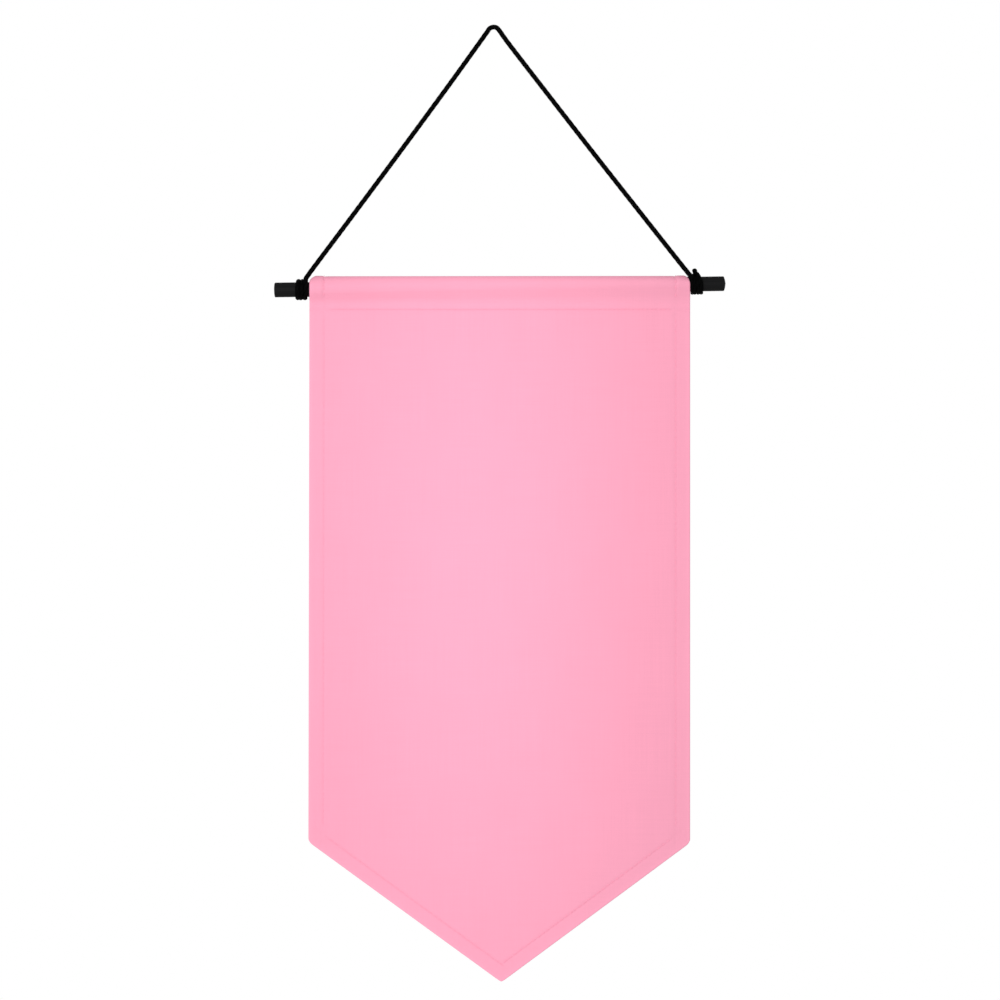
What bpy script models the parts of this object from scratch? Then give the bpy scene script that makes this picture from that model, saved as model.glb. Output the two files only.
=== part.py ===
# Pin display pennant: a five-sided piece of pink woven cloth that hangs on a black
# dowel through a sewn casing, with one black twisted cord tied to both ends of the dowel.
# Metres, +Z up, front towards -Y, viewer's right at +X.
# The origin is the hanging point, under the cord's bend.

import math

import bmesh
import bpy
from mathutils import Vector

# Cloth outline
LEFT_TOP_X = -0.0991
LEFT_FOOT_X = -0.0997
RIGHT_X = 0.1058
FOLD_LEFT_Z = -0.1330
FOLD_RIGHT_Z = -0.1319
SHOULDER_LEFT_Z = -0.4375
SHOULDER_RIGHT_Z = -0.4380
POINT_X = 0.0042
POINT_Z = -0.5132
POINT_ROUNDING = 0.00045
SHOULDER_ROUNDING = 0.0005
ROUNDING_REACH = 0.0020

# Cloth layers, hems and seam
SHEET = 0.0010
HEM_LAYERS = 2.0
HEM_WIDTH = 0.0093
HEM_STEP = 0.0008
STITCH_INSET = 0.0076
STITCH_DEPTH = 0.00035
STITCH_SPREAD = 0.0007
HEM_HOLLOW = 0.00012
EDGE_ROLL = 0.00045
EDGE_REACH = 0.0012
SEAM_Z = -0.1509
SEAM_SPREAD = 0.0008
FLAP_FOOT_Z = -0.1537
FLAP_RAMP = 0.0004

# Casing round the dowel
TUNNEL_FOOT_Z = -0.1480
KNEE_RISE = 0.0013
KNEE_HALF_WIDTH = 0.00035
CASING_CLEARANCE = 0.00035
CASING_HEM_RAISE = 0.00025
ARC_STEPS = 2
ARCH_STEPS = 12
CORNER_LEFT_SETBACK = 0.0023
CORNER_RIGHT_SETBACK = 0.0026
CORNER_DROP = 0.0036
CORNER_POWER = 1.15

# Dowel
DOWEL_RADIUS = 0.00397
DOWEL_LEFT_X = -0.11825
DOWEL_RIGHT_X = 0.12493
DOWEL_LEFT_Z = -0.14039
DOWEL_RIGHT_Z = -0.13697
DOWEL_SIDES = 32

# Cord and its windings
CORD_DIAMETER = 0.0024
GAP = 0.00032
WINDING_INNER_RADIUS = DOWEL_RADIUS + GAP
WINDING_VALLEY_RADIUS = 0.00500
WINDING_SIDES = 32
LOBE_STEPS = 4

# Distances in from the cloth's edge at which its columns and rows run
EDGE_INSETS = (0.0, 0.0009, 0.0024, 0.0042, 0.0060, 0.0069, 0.0076, 0.0083, 0.0093, 0.0101)
FIELD_COLUMNS = 6
FIELD_ROWS = 18
FOOT_SLANT = 1.24

# Soft swells of the hanging cloth towards the viewer (negative: away from the viewer)
# x, z, half_width, half_height, rise
SWELLS = (
    (0.003, -0.300, 0.080, 0.100, 0.0011),
    (-0.062, -0.395, 0.034, 0.060, -0.0005),
    (0.064, -0.225, 0.038, 0.060, 0.0004),
    (0.055, -0.430, 0.040, 0.034, 0.0005),
    (0.004, -0.505, 0.030, 0.028, -0.0009),
)
SWELL_START = 0.040

# Turns of the cord round the dowel, from left to right
# centre_x, width, outer_radius
LEFT_TURNS = (
    (-0.10549, 0.00226, 0.00560),
    (-0.10323, 0.00226, 0.00562),
    (-0.10097, 0.00226, 0.00565),
)
RIGHT_TURNS = (
    (0.10664, 0.00104, 0.00520),
    (0.10796, 0.00160, 0.00545),
    (0.10972, 0.00192, 0.00550),
    (0.11170, 0.00204, 0.00550),
)

# The cord's last strand climbs over the right winding: angle round the dowel in degrees
# (0 at the back, 90 on top, 180 in front), place along the dowel and height
CLIMB_START_ANGLE = 200.0
CLIMB_END_ANGLE = 75.0
CLIMB_START_X = 0.1119
CLIMB_END_X = 0.1088
CLIMB_HEIGHT = 0.00055
CLIMB_SPREAD = 0.0010
CLIMB_FADE = 25.0

# Route of the hanging cord from the left winding to the right one
# x, y, z, steps to the next point
CORD_ROUTE = (
    (-0.10100, -0.0046, -0.13515, 1),
    (-0.10000, -0.0045, -0.13300, 1),
    (-0.09417, -0.0041, -0.12504, 4),
    (-0.07487, -0.0032, -0.09920, 5),
    (-0.05130, -0.0022, -0.06740, 5),
    (-0.02640, -0.0011, -0.03340, 4),
    (-0.00871, -0.0003, -0.00880, 2),
    (-0.00390, 0.0, -0.00205, 2),
    (-0.00205, 0.0, 0.00045, 2),
    (0.00000, 0.0, 0.00120, 2),
    (0.00215, 0.0, 0.00045, 2),
    (0.00405, 0.0, -0.00205, 2),
    (0.00892, -0.0003, -0.00880, 4),
    (0.02680, -0.0010, -0.03200, 5),
    (0.05320, -0.0021, -0.06610, 5),
    (0.07916, -0.0032, -0.09920, 4),
    (0.09952, -0.0041, -0.12504, 1),
    (0.10490, -0.0047, -0.13178, 1),
    (0.10583, -0.0051, -0.13310, 0),
)

# Free end of the cord, standing up out of the right winding
# x, y, z, radius_share
FREE_END_ROUTE = (
    (0.10856, -0.0026, -0.13140, 0.84),
    (0.10842, -0.0026, -0.13075, 1.00),
    (0.10812, -0.0027, -0.13010, 1.00),
    (0.10790, -0.0028, -0.12945, 0.86),
    (0.10780, -0.0028, -0.12915, 0.52),
)


def clear_scene():
    for item in list(bpy.data.objects):
        bpy.data.objects.remove(item, do_unlink=True)


def make_material(name, colour, roughness, sheen):
    material = bpy.data.materials.new(name)
    material.use_nodes = True
    shader = material.node_tree.nodes["Principled BSDF"]
    shader.inputs["Base Color"].default_value = (*colour, 1.0)
    shader.inputs["Roughness"].default_value = roughness
    shader.inputs["Metallic"].default_value = 0.0
    shader.inputs["Sheen Weight"].default_value = sheen
    return material


def object_from_bmesh(name, mesh_data, material, smooth_angle):
    bmesh.ops.recalc_face_normals(mesh_data, faces=mesh_data.faces)
    mesh = bpy.data.meshes.new(name)
    mesh_data.to_mesh(mesh)
    mesh_data.free()
    mesh.shade_smooth()
    mesh.set_sharp_from_angle(angle=math.radians(smooth_angle))
    mesh.materials.append(material)
    made = bpy.data.objects.new(name, mesh)
    bpy.context.scene.collection.objects.link(made)
    return made


def mix(start, end, share):
    return start + (end - start) * share


def smooth_share(value, start, end):
    share = min(max((value - start) / (end - start), 0.0), 1.0)
    return share * share * (3.0 - 2.0 * share)


def bell(value, centre, spread):
    return math.exp(-((value - centre) / spread) ** 2)


def left_edge_x(z):
    share = (FOLD_LEFT_Z - z) / (FOLD_LEFT_Z - SHOULDER_LEFT_Z)
    return mix(LEFT_TOP_X, LEFT_FOOT_X, min(max(share, 0.0), 1.0))


def left_slant_z(x):
    return mix(SHOULDER_LEFT_Z, POINT_Z, (x - LEFT_FOOT_X) / (POINT_X - LEFT_FOOT_X))


def right_slant_z(x):
    return mix(SHOULDER_RIGHT_Z, POINT_Z, (RIGHT_X - x) / (RIGHT_X - POINT_X))


def foot_z(x):
    # The two slanted edges meet in a slightly rounded point
    left_z = left_slant_z(x)
    right_z = right_slant_z(x)
    return 0.5 * (left_z + right_z) + math.hypot(0.5 * (left_z - right_z), POINT_ROUNDING)


def edge_distance(x, z):
    # How far a place lies in from the nearest of the two sides and two slants
    left_slope = (SHOULDER_LEFT_Z - POINT_Z) / (POINT_X - LEFT_FOOT_X)
    right_slope = (SHOULDER_RIGHT_Z - POINT_Z) / (RIGHT_X - POINT_X)
    from_left_slant = (z - left_slant_z(x)) / math.hypot(1.0, left_slope)
    from_right_slant = (z - right_slant_z(x)) / math.hypot(1.0, right_slope)
    nearest = min(x - left_edge_x(z), RIGHT_X - x, from_left_slant, from_right_slant)
    return max(nearest, 0.0)


def swell(x, z):
    rise = sum(
        height * bell(x, centre_x, half_width) * bell(z, centre_z, half_height)
        for centre_x, centre_z, half_width, half_height, height in SWELLS
    )
    return rise * smooth_share(SEAM_Z - z, 0.0, SWELL_START)


def edge_roll(distance):
    return EDGE_ROLL * max(0.0, 1.0 - distance / EDGE_REACH) ** 2


def hem_relief(distance):
    # Stitch trough, and the shallow hollow between the folded edge and the stitches
    trough = STITCH_DEPTH * bell(distance, STITCH_INSET, STITCH_SPREAD)
    hollow = HEM_HOLLOW * bell(distance, 0.5 * STITCH_INSET, 2.0 * STITCH_SPREAD)
    return trough + hollow


def front_y(x, z):
    distance = edge_distance(x, z)
    seam = STITCH_DEPTH * bell(z, SEAM_Z, SEAM_SPREAD)
    return -SHEET - swell(x, z) + edge_roll(distance) + max(hem_relief(distance), seam)


def back_y(x, z):
    distance = edge_distance(x, z)
    if z > FLAP_FOOT_Z - 0.5 * FLAP_RAMP:
        return SHEET - swell(x, z) - edge_roll(distance)
    layers = mix(HEM_LAYERS, 1.0, smooth_share(distance, HEM_WIDTH, HEM_WIDTH + HEM_STEP))
    return -SHEET - swell(x, z) + SHEET * layers - edge_roll(distance)


def dowel_axis_z(x):
    return mix(DOWEL_LEFT_Z, DOWEL_RIGHT_Z, (x - DOWEL_LEFT_X) / (DOWEL_RIGHT_X - DOWEL_LEFT_X))


def fold_top_z(x):
    return mix(FOLD_LEFT_Z, FOLD_RIGHT_Z, (x - LEFT_TOP_X) / (RIGHT_X - LEFT_TOP_X))


def tunnel_side(x):
    # Half of the tunnel's section, as (half width, height), from its foot to its top
    axis_z = dowel_axis_z(x)
    radius = DOWEL_RADIUS + CASING_CLEARANCE
    knee_z = TUNNEL_FOOT_Z + KNEE_RISE
    reach = math.hypot(KNEE_HALF_WIDTH, knee_z - axis_z)
    tangent_angle = math.atan2(knee_z - axis_z, KNEE_HALF_WIDTH) + math.acos(radius / reach)
    side = [(0.0, TUNNEL_FOOT_Z), (KNEE_HALF_WIDTH, knee_z)]
    for step in range(ARC_STEPS):
        angle = mix(tangent_angle, 0.0, step / ARC_STEPS)
        side.append((radius * math.cos(angle), axis_z + radius * math.sin(angle)))
    arch_height = fold_top_z(x) - SHEET - axis_z
    for step in range(ARCH_STEPS // 2 + 1):
        angle = math.pi * step / ARCH_STEPS
        side.append((radius * math.cos(angle), axis_z + arch_height * math.sin(angle)))
    return side


def tunnel_section(x):
    # Closed section as (y, z): foot, up the front, over the top and down the back
    side = tunnel_side(x)
    front = [(-half_width, z) for half_width, z in side]
    back = [(half_width, z) for half_width, z in reversed(side[1:-1])]
    return front + back


def casing_section(x):
    # Outside of the casing as (y, z): the tunnel's section moved out by the wall
    inner = tunnel_section(x)
    count = len(inner)
    distance = min(x - LEFT_TOP_X, RIGHT_X - x)
    band = 1.0 - smooth_share(distance, STITCH_INSET - STITCH_SPREAD, STITCH_INSET)
    outer = []
    for index in range(1, count):
        before = Vector(inner[index - 1])
        after = Vector(inner[(index + 1) % count])
        along = (after - before).normalized()
        outward = Vector((-along.y, along.x))
        here = Vector(inner[index])
        fade = smooth_share(here.y, TUNNEL_FOOT_Z, dowel_axis_z(x))
        outer.append(here + outward * (SHEET + CASING_HEM_RAISE * band * fade))
    return outer


def corner_setback(x, outer_z, setback):
    # The cord presses the casing's top corners in
    start_z = fold_top_z(x) - CORNER_DROP
    share = max(0.0, (outer_z - start_z) / CORNER_DROP)
    return setback * share ** CORNER_POWER


def column_x(column, z, left_setback, right_setback):
    left = left_edge_x(z)
    count = len(EDGE_INSETS)
    last = 2 * (count + FIELD_COLUMNS) - 2
    if column < count:
        inset = EDGE_INSETS[column]
        return left + inset + left_setback * max(0.0, 1.0 - inset / STITCH_INSET)
    if column > last - count:
        inset = EDGE_INSETS[last - column]
        return RIGHT_X - inset - right_setback * max(0.0, 1.0 - inset / STITCH_INSET)
    step = column - (count - 1)
    if step <= FIELD_COLUMNS:
        return mix(left + EDGE_INSETS[-1], POINT_X, step / FIELD_COLUMNS)
    return mix(POINT_X, RIGHT_X - EDGE_INSETS[-1], (step - FIELD_COLUMNS) / FIELD_COLUMNS)


def column_count():
    return 2 * (len(EDGE_INSETS) + FIELD_COLUMNS) - 1


def panel_row_heights(x):
    # Heights from the slanted foot up to the tunnel's foot
    foot = foot_z(x)
    heights = [foot + inset * FOOT_SLANT for inset in EDGE_INSETS]
    ramp_foot = FLAP_FOOT_Z - FLAP_RAMP
    for step in range(1, FIELD_ROWS):
        heights.append(mix(heights[len(EDGE_INSETS) - 1], ramp_foot, step / FIELD_ROWS))
    heights += [ramp_foot, FLAP_FOOT_Z]
    heights += [SEAM_Z - 1.2 * SEAM_SPREAD, SEAM_Z, SEAM_Z + 1.2 * SEAM_SPREAD, TUNNEL_FOOT_Z]
    return heights


def round_shoulder(x, z):
    # Draws the two bottom corners in a little
    foot = foot_z(x)
    near_foot = max(0.0, 1.0 - (z - foot) / ROUNDING_REACH) ** 2
    side = min(x - left_edge_x(z), RIGHT_X - x)
    near_side = max(0.0, 1.0 - side / ROUNDING_REACH) ** 2
    pull = SHOULDER_ROUNDING * near_foot * near_side
    towards_middle = 1.0 if x < POINT_X else -1.0
    return x + pull * towards_middle, z + pull


def panel_point(column, row, is_front):
    x = column_x(column, SHOULDER_LEFT_Z, 0.0, 0.0)
    z = panel_row_heights(x)[row]
    x = column_x(column, z, 0.0, 0.0)
    y = front_y(x, z) if is_front else back_y(x, z)
    x, z = round_shoulder(x, z)
    return Vector((x, y, z))


def casing_point(column, index, is_outer):
    x = column_x(column, FOLD_LEFT_Z, 0.0, 0.0)
    y, z = casing_section(x)[index]
    left_setback = corner_setback(x, z, CORNER_LEFT_SETBACK)
    right_setback = corner_setback(x, z, CORNER_RIGHT_SETBACK)
    if not is_outer:
        y, z = tunnel_section(x)[index + 1]
    x = column_x(column, FOLD_LEFT_Z, left_setback, right_setback)
    return Vector((x, y, z))


def join_rows(mesh_data, lower, upper):
    for column in range(len(lower) - 1):
        corners = (lower[column], lower[column + 1], upper[column + 1], upper[column])
        mesh_data.faces.new(corners)


def make_cloth(material):
    mesh_data = bmesh.new()
    columns = range(column_count())
    panel_rows = range(len(panel_row_heights(POINT_X)))
    casing_rows = range(len(casing_section(POINT_X)))

    def add_row(place):
        return [mesh_data.verts.new(place(column)) for column in columns]

    front = [add_row(lambda column, r=row: panel_point(column, r, True)) for row in panel_rows]
    back = [add_row(lambda column, r=row: panel_point(column, r, False)) for row in panel_rows]
    outer = [add_row(lambda column, i=index: casing_point(column, i, True)) for index in casing_rows]
    inner = [add_row(lambda column, i=index: casing_point(column, i, False)) for index in casing_rows]
    tunnel_foot = add_row(
        lambda column: Vector((column_x(column, FOLD_LEFT_Z, 0.0, 0.0), 0.0, TUNNEL_FOOT_Z))
    )

    outside = front + outer + list(reversed(back))
    for lower, upper in zip(outside, outside[1:]):
        join_rows(mesh_data, lower, upper)
    join_rows(mesh_data, back[0], front[0])
    tunnel = [tunnel_foot] + inner + [tunnel_foot]
    for lower, upper in zip(tunnel, tunnel[1:]):
        join_rows(mesh_data, upper, lower)

    wall = [front[-1]] + outer + [back[-1]]
    for end in (0, -1):
        for row in range(len(front) - 1):
            mesh_data.faces.new((front[row][end], front[row + 1][end], back[row + 1][end], back[row][end]))
        for index in range(len(wall) - 1):
            mesh_data.faces.new(
                (wall[index][end], wall[index + 1][end], tunnel[index + 1][end], tunnel[index][end])
            )
        mesh_data.faces.new((front[-1][end], tunnel_foot[end], back[-1][end]))
    return object_from_bmesh("pennant_cloth", mesh_data, material, 60.0)


def make_rod_line():
    # An empty on the dowel's axis carries the dowel and the windings
    rod_line = bpy.data.objects.new("rod_line", None)
    bpy.context.scene.collection.objects.link(rod_line)
    middle_x = 0.5 * (DOWEL_LEFT_X + DOWEL_RIGHT_X)
    rod_line.location = (middle_x, 0.0, dowel_axis_z(middle_x))
    slope = (DOWEL_RIGHT_Z - DOWEL_LEFT_Z) / (DOWEL_RIGHT_X - DOWEL_LEFT_X)
    rod_line.rotation_euler = (0.0, -math.atan(slope), 0.0)
    return rod_line


def make_dowel(material, rod_line):
    # Left end nearly flat, right end slightly domed
    half = 0.5 * (DOWEL_RIGHT_X - DOWEL_LEFT_X)
    profile = (
        (-half, 0.0),
        (-half + 0.0001, 0.0020),
        (-half + 0.0003, 0.0035),
        (-half + 0.0007, DOWEL_RADIUS),
        (half - 0.0012, DOWEL_RADIUS),
        (half - 0.0008, 0.0036),
        (half - 0.0003, 0.0020),
        (half, 0.0),
    )
    mesh_data = bmesh.new()
    points = [mesh_data.verts.new((x, 0.0, radius)) for x, radius in profile]
    edges = [mesh_data.edges.new(pair) for pair in zip(points, points[1:])]
    bmesh.ops.spin(
        mesh_data,
        geom=points + edges,
        cent=(0.0, 0.0, 0.0),
        axis=(1.0, 0.0, 0.0),
        angle=2.0 * math.pi,
        steps=DOWEL_SIDES,
        use_merge=True,
    )
    bmesh.ops.remove_doubles(mesh_data, verts=mesh_data.verts, dist=0.000001)
    dowel = object_from_bmesh("dowel", mesh_data, material, 40.0)
    dowel.parent = rod_line
    return dowel


def winding_profile(turns):
    # (x, radius share between valley and crest, crest radius) over all turns
    profile = []
    for centre_x, width, outer_radius in turns:
        for step in range(LOBE_STEPS + 1):
            angle = math.pi * (step / LOBE_STEPS - 0.5)
            profile.append((centre_x + 0.5 * width * math.sin(angle), math.cos(angle), outer_radius))
    return profile


def climb_rise(x, angle):
    # The last strand, lying slantwise over the turns below it
    degrees = math.degrees(angle)
    share = (CLIMB_START_ANGLE - degrees) / (CLIMB_START_ANGLE - CLIMB_END_ANGLE)
    centre_x = mix(CLIMB_START_X, CLIMB_END_X, share)
    fade = smooth_share(degrees, CLIMB_END_ANGLE - CLIMB_FADE, CLIMB_END_ANGLE)
    fade *= 1.0 - smooth_share(degrees, CLIMB_START_ANGLE, CLIMB_START_ANGLE + CLIMB_FADE)
    return CLIMB_HEIGHT * fade * bell(x, centre_x, CLIMB_SPREAD)


def make_winding(name, turns, has_climb, material, rod_line):
    # Turns lying side by side, as one closed ring round the dowel
    middle_x = 0.5 * (DOWEL_LEFT_X + DOWEL_RIGHT_X)
    rim_depth = 0.0002
    profile = winding_profile(turns)
    start_x = profile[0][0]
    end_x = profile[-1][0]
    mesh_data = bmesh.new()
    loops = []
    for side in range(WINDING_SIDES):
        angle = 2.0 * math.pi * side / WINDING_SIDES
        places = [(start_x + rim_depth, WINDING_INNER_RADIUS)]
        for index, (x, share, crest) in enumerate(profile):
            if index and x - profile[index - 1][0] < rim_depth:
                continue
            radius = mix(WINDING_VALLEY_RADIUS, crest, share)
            if has_climb:
                radius += climb_rise(x, angle)
            places.append((x, radius))
        places.append((end_x - rim_depth, WINDING_INNER_RADIUS))
        loops.append(
            [
                mesh_data.verts.new((x - middle_x, radius * math.cos(angle), radius * math.sin(angle)))
                for x, radius in places
            ]
        )
    for here, after in zip(loops, loops[1:] + loops[:1]):
        count = len(here)
        for index in range(count):
            following = (index + 1) % count
            mesh_data.faces.new((here[index], here[following], after[following], after[index]))
    winding = object_from_bmesh(name, mesh_data, material, 50.0)
    winding.parent = rod_line
    return winding


def curve_point(before, here, after, beyond, share):
    # One place on the smooth curve through four neighbouring route points
    square = share * share
    cube = square * share
    return 0.5 * (
        2.0 * here
        + (after - before) * share
        + (2.0 * before - 5.0 * here + 4.0 * after - beyond) * square
        + (3.0 * here - before - 3.0 * after + beyond) * cube
    )


def smooth_route(route):
    places = [Vector(row[:3]) for row in route]
    padded = [places[0] * 2.0 - places[1]] + places + [places[-1] * 2.0 - places[-2]]
    smooth = []
    for index, row in enumerate(route[:-1]):
        steps = row[3]
        for step in range(steps):
            smooth.append(curve_point(*padded[index:index + 4], step / steps))
    smooth.append(places[-1])
    return smooth


def make_cord(name, places, radius_shares, material):
    curve = bpy.data.curves.new(name, "CURVE")
    curve.dimensions = "3D"
    curve.bevel_depth = 0.5 * CORD_DIAMETER
    curve.bevel_resolution = 2
    curve.use_fill_caps = True
    spline = curve.splines.new("POLY")
    spline.points.add(len(places) - 1)
    for point, place, share in zip(spline.points, places, radius_shares):
        point.co = (*place, 1.0)
        point.radius = share
    spline.use_smooth = True
    curve.materials.append(material)
    cord = bpy.data.objects.new(name, curve)
    bpy.context.scene.collection.objects.link(cord)
    return cord


def main():
    clear_scene()
    pink_cloth = make_material("pink_woven_cloth", (0.95, 0.43, 0.59), 0.85, 0.2)
    black_wood = make_material("black_painted_wood", (0.012, 0.012, 0.012), 0.45, 0.0)
    black_cord = make_material("black_twisted_cord", (0.006, 0.006, 0.006), 0.6, 0.0)
    make_cloth(pink_cloth)
    rod_line = make_rod_line()
    make_dowel(black_wood, rod_line)
    make_winding("cord_wrap_left", LEFT_TURNS, False, black_cord, rod_line)
    make_winding("cord_wrap_right", RIGHT_TURNS, True, black_cord, rod_line)
    hanging = smooth_route(CORD_ROUTE)
    make_cord("hanging_cord", hanging, [1.0] * len(hanging), black_cord)
    free_end = [Vector(row[:3]) for row in FREE_END_ROUTE]
    make_cord("cord_free_end", free_end, [row[3] for row in FREE_END_ROUTE], black_cord)


main()
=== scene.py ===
# Looks of the pin display pennant: a thin pink woven cloth with hems, a sewn casing and its
# stitches, a black painted dowel, and one black cord of three twisted strands.
# Metres, +Z up, front towards -Y, viewer's right at +X, the hanging point at the origin.

import math

import bmesh
import bpy
import numpy as np
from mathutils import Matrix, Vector


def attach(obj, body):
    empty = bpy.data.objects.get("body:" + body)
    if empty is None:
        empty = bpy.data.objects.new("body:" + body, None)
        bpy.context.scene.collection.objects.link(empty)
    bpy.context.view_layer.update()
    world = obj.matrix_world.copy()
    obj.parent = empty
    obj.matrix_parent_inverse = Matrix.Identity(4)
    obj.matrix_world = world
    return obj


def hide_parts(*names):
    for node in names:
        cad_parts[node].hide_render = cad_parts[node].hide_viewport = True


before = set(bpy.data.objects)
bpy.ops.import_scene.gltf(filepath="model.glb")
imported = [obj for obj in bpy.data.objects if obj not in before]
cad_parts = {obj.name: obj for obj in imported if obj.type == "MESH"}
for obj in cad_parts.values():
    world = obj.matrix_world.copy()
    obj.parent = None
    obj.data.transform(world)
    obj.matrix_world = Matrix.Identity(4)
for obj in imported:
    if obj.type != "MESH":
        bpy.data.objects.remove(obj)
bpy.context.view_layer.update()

# Picture
PICTURE_WIDTH = 0.53847
PICTURE_CENTRE_X = 0.00345
PICTURE_CENTRE_Z = -0.25347
CAMERA_DISTANCE = 3.0
SENSOR_WIDTH = 36.0

# Light
AMBIENT_STRENGTH = 0.62
KEY_PLACE = (-0.35, -1.05, -0.05)
KEY_SIZE = 0.6
KEY_POWER = 7.6
FLOOR_Z = -0.80
FLOOR_HALF_WIDTH = 1.6
FLOOR_BACK_Y = 1.1

# Cloth outline
LEFT_TOP_X = -0.0991
LEFT_FOOT_X = -0.0997
RIGHT_X = 0.1058
FOLD_LEFT_Z = -0.1330
FOLD_RIGHT_Z = -0.1328
SHOULDER_LEFT_Z = -0.4375
SHOULDER_RIGHT_Z = -0.4380
POINT_X = 0.0042
POINT_Z = -0.5132
POINT_ROUNDING = 0.00045
SHOULDER_ROUNDING = 0.0005
ROUNDING_REACH = 0.0020

# Cloth layers, hems and seam
FRONT_Y = -0.0010
CLOTH_THICKNESS = 0.00050
HEM_THICKNESS = 0.00120
HEM_WIDTH = 0.0095
HEM_STEP = 0.0003
STITCH_INSET = 0.0078
STITCH_DEPTH = 0.00013
SEAM_DEPTH = 0.00020
STITCH_SPREAD = 0.0010
PUCKER_SHARE = 0.35
HEM_HOLLOW = 0.00006
EDGE_RADIUS = 0.00058
SEAM_Z = -0.1509
SEAM_SPREAD = 0.0008
FLAP_FOOT_Z = -0.1537
FLAP_STEP = 0.0002
FLAP_BACK_Y = 0.0004
FLAP_TOP_BACK_Y = 0.0010

# Casing round the dowel
CASING_WALL = 0.00060
TUNNEL_FOOT_Z = -0.1480
KNEE_RISE = 0.0013
KNEE_HALF_WIDTH = 0.0005
CASING_CLEARANCE = 0.00015
CASING_HEM_RAISE = 0.00025
ARC_STEPS = 5
ARCH_STEPS = 24
ROD_SHADOW_DROP = 0.0030
ROD_SHADOW_CORE = 0.5
ROD_SHADOW_REACH = 1.25
CASING_GROOVE_SHARE = 0.9
CASING_END_THINNING = 0.7
CORNER_LEFT_SETBACK = 0.0027
CORNER_RIGHT_SETBACK = 0.0027
CORNER_DROP = 0.0034
CORNER_POWER = 2.2

# Distances in from the cloth's edge at which its columns and rows run
EDGE_INSETS = (
    0.0, 0.00006, 0.0002, 0.0004, 0.0007, 0.0013, 0.0022, 0.0034, 0.0048, 0.0060, 0.0067,
    0.0073, 0.0078, 0.0083, 0.0089, 0.0094, 0.0096, 0.0099, 0.0106,
)
FIELD_COLUMNS = 73
FIELD_ROWS = 178
FOOT_SLANT = 1.24
FLAP_ROW_RISES = (0.0, 0.0003, 0.0012)
SEAM_ROW_OFFSETS = (-1.3, -0.7, 0.0, 0.7, 1.3)
ROWS_ABOVE_FIELD = 12

# Soft swells of the hanging cloth towards the viewer (negative: away from the viewer)
# x, z, half_width, half_height, rise
SWELLS = (
    (0.003, -0.300, 0.080, 0.100, 0.0011),
    (-0.062, -0.395, 0.034, 0.060, -0.0005),
    (0.064, -0.225, 0.038, 0.060, 0.0004),
    (0.055, -0.430, 0.040, 0.034, 0.0005),
    (0.004, -0.505, 0.030, 0.028, -0.0009),
)
SWELL_START = 0.040

# Painted light: a glow painted along the cloth's edges, and a painted pool of light on the middle,
# darker towards the sides
EDGE_GLOW_SHARE = 0.08
EDGE_GLOW_WIDTH = 0.0012
LIGHT_POOL_SHARE = 0.17
LIGHT_POOL_X = -0.005
LIGHT_POOL_Z = -0.290
LIGHT_POOL_HALF_WIDTH = 0.085
LIGHT_POOL_HALF_HEIGHT = 0.270

# Stitches
THREAD_WIDTH = 0.00036
STITCH_SHARE = 0.86
STITCH_LIFT = 0.25
STITCH_SEGMENTS = 8
STITCH_RINGS = 6
STITCH_UNEVENNESS = (0.02, 0.10, 0.05)
STITCH_SEED = 7

# Dowel
DOWEL_RADIUS = 0.00397
DOWEL_LEFT_X = -0.11825
DOWEL_RIGHT_X = 0.12493
DOWEL_LEFT_Z = -0.14039
DOWEL_RIGHT_Z = -0.13697

# Cord
CORD_DIAMETER = 0.0024
CORD_LAY = 0.0116
CORD_SECTION_STEP = 0.00045
CORD_SECTION_SIDES = 24
STRAND_SHARE = 0.98
STRAND_CENTRE_SHARE = 0.15
WOUND_HEIGHT = 0.00165
WOUND_WIDTH = 0.00226
TURN_STEP = 15.0
ROUTE_SAMPLE_STEP = 0.0002
START_CAP_HEIGHT = 0.0002
END_CAP_HEIGHT = 0.00025
SECTIONS_PER_PATH_POINT = 3
CORD_FACING = (0.0, -1.0, 0.0)
FREE_END_FACING = (-0.2, -0.9, 0.1)

# Turns of the left winding, from the tucked start to the leg: angle round the dowel in
# degrees (0 at the back, 90 on top, 180 in front, counted on over whole turns),
# place along the dowel, radius of the centreline, width of the flattened cord
LEFT_WINDING = (
    (1085.0, -0.10500, 0.00440, 0.00120),
    (1020.0, -0.10530, 0.00465, 0.00180),
    (960.0, -0.10549, 0.00483, 0.00226),
    (900.0, -0.10549, 0.00483, 0.00226),
    (540.0, -0.10323, 0.00483, 0.00226),
    (180.0, -0.10097, 0.00483, 0.00226),
    (165.0, -0.10104, 0.00484, 0.00232),
)

# Turns of the right winding, from the leg to the crossing strand and the tucked end
RIGHT_WINDING = (
    (165.0, 0.10648, 0.00490, 0.00200),
    (180.0, 0.10672, 0.00484, 0.00180),
    (540.0, 0.10796, 0.00480, 0.00190),
    (900.0, 0.10972, 0.00480, 0.00205),
    (990.0, 0.11010, 0.00480, 0.00205),
    (1080.0, 0.11080, 0.00490, 0.00210),
    (1125.0, 0.10995, 0.00540, 0.00215),
    (1155.0, 0.10915, 0.00570, 0.00220),
    (1185.0, 0.10945, 0.00570, 0.00220),
    (1220.0, 0.11050, 0.00530, 0.00215),
    (1260.0, 0.11135, 0.00492, 0.00210),
    (1350.0, 0.11172, 0.00482, 0.00205),
    (1440.0, 0.11165, 0.00482, 0.00205),
    (1490.0, 0.11060, 0.00490, 0.00200),
    (1520.0, 0.10960, 0.00505, 0.00200),
)

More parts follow.
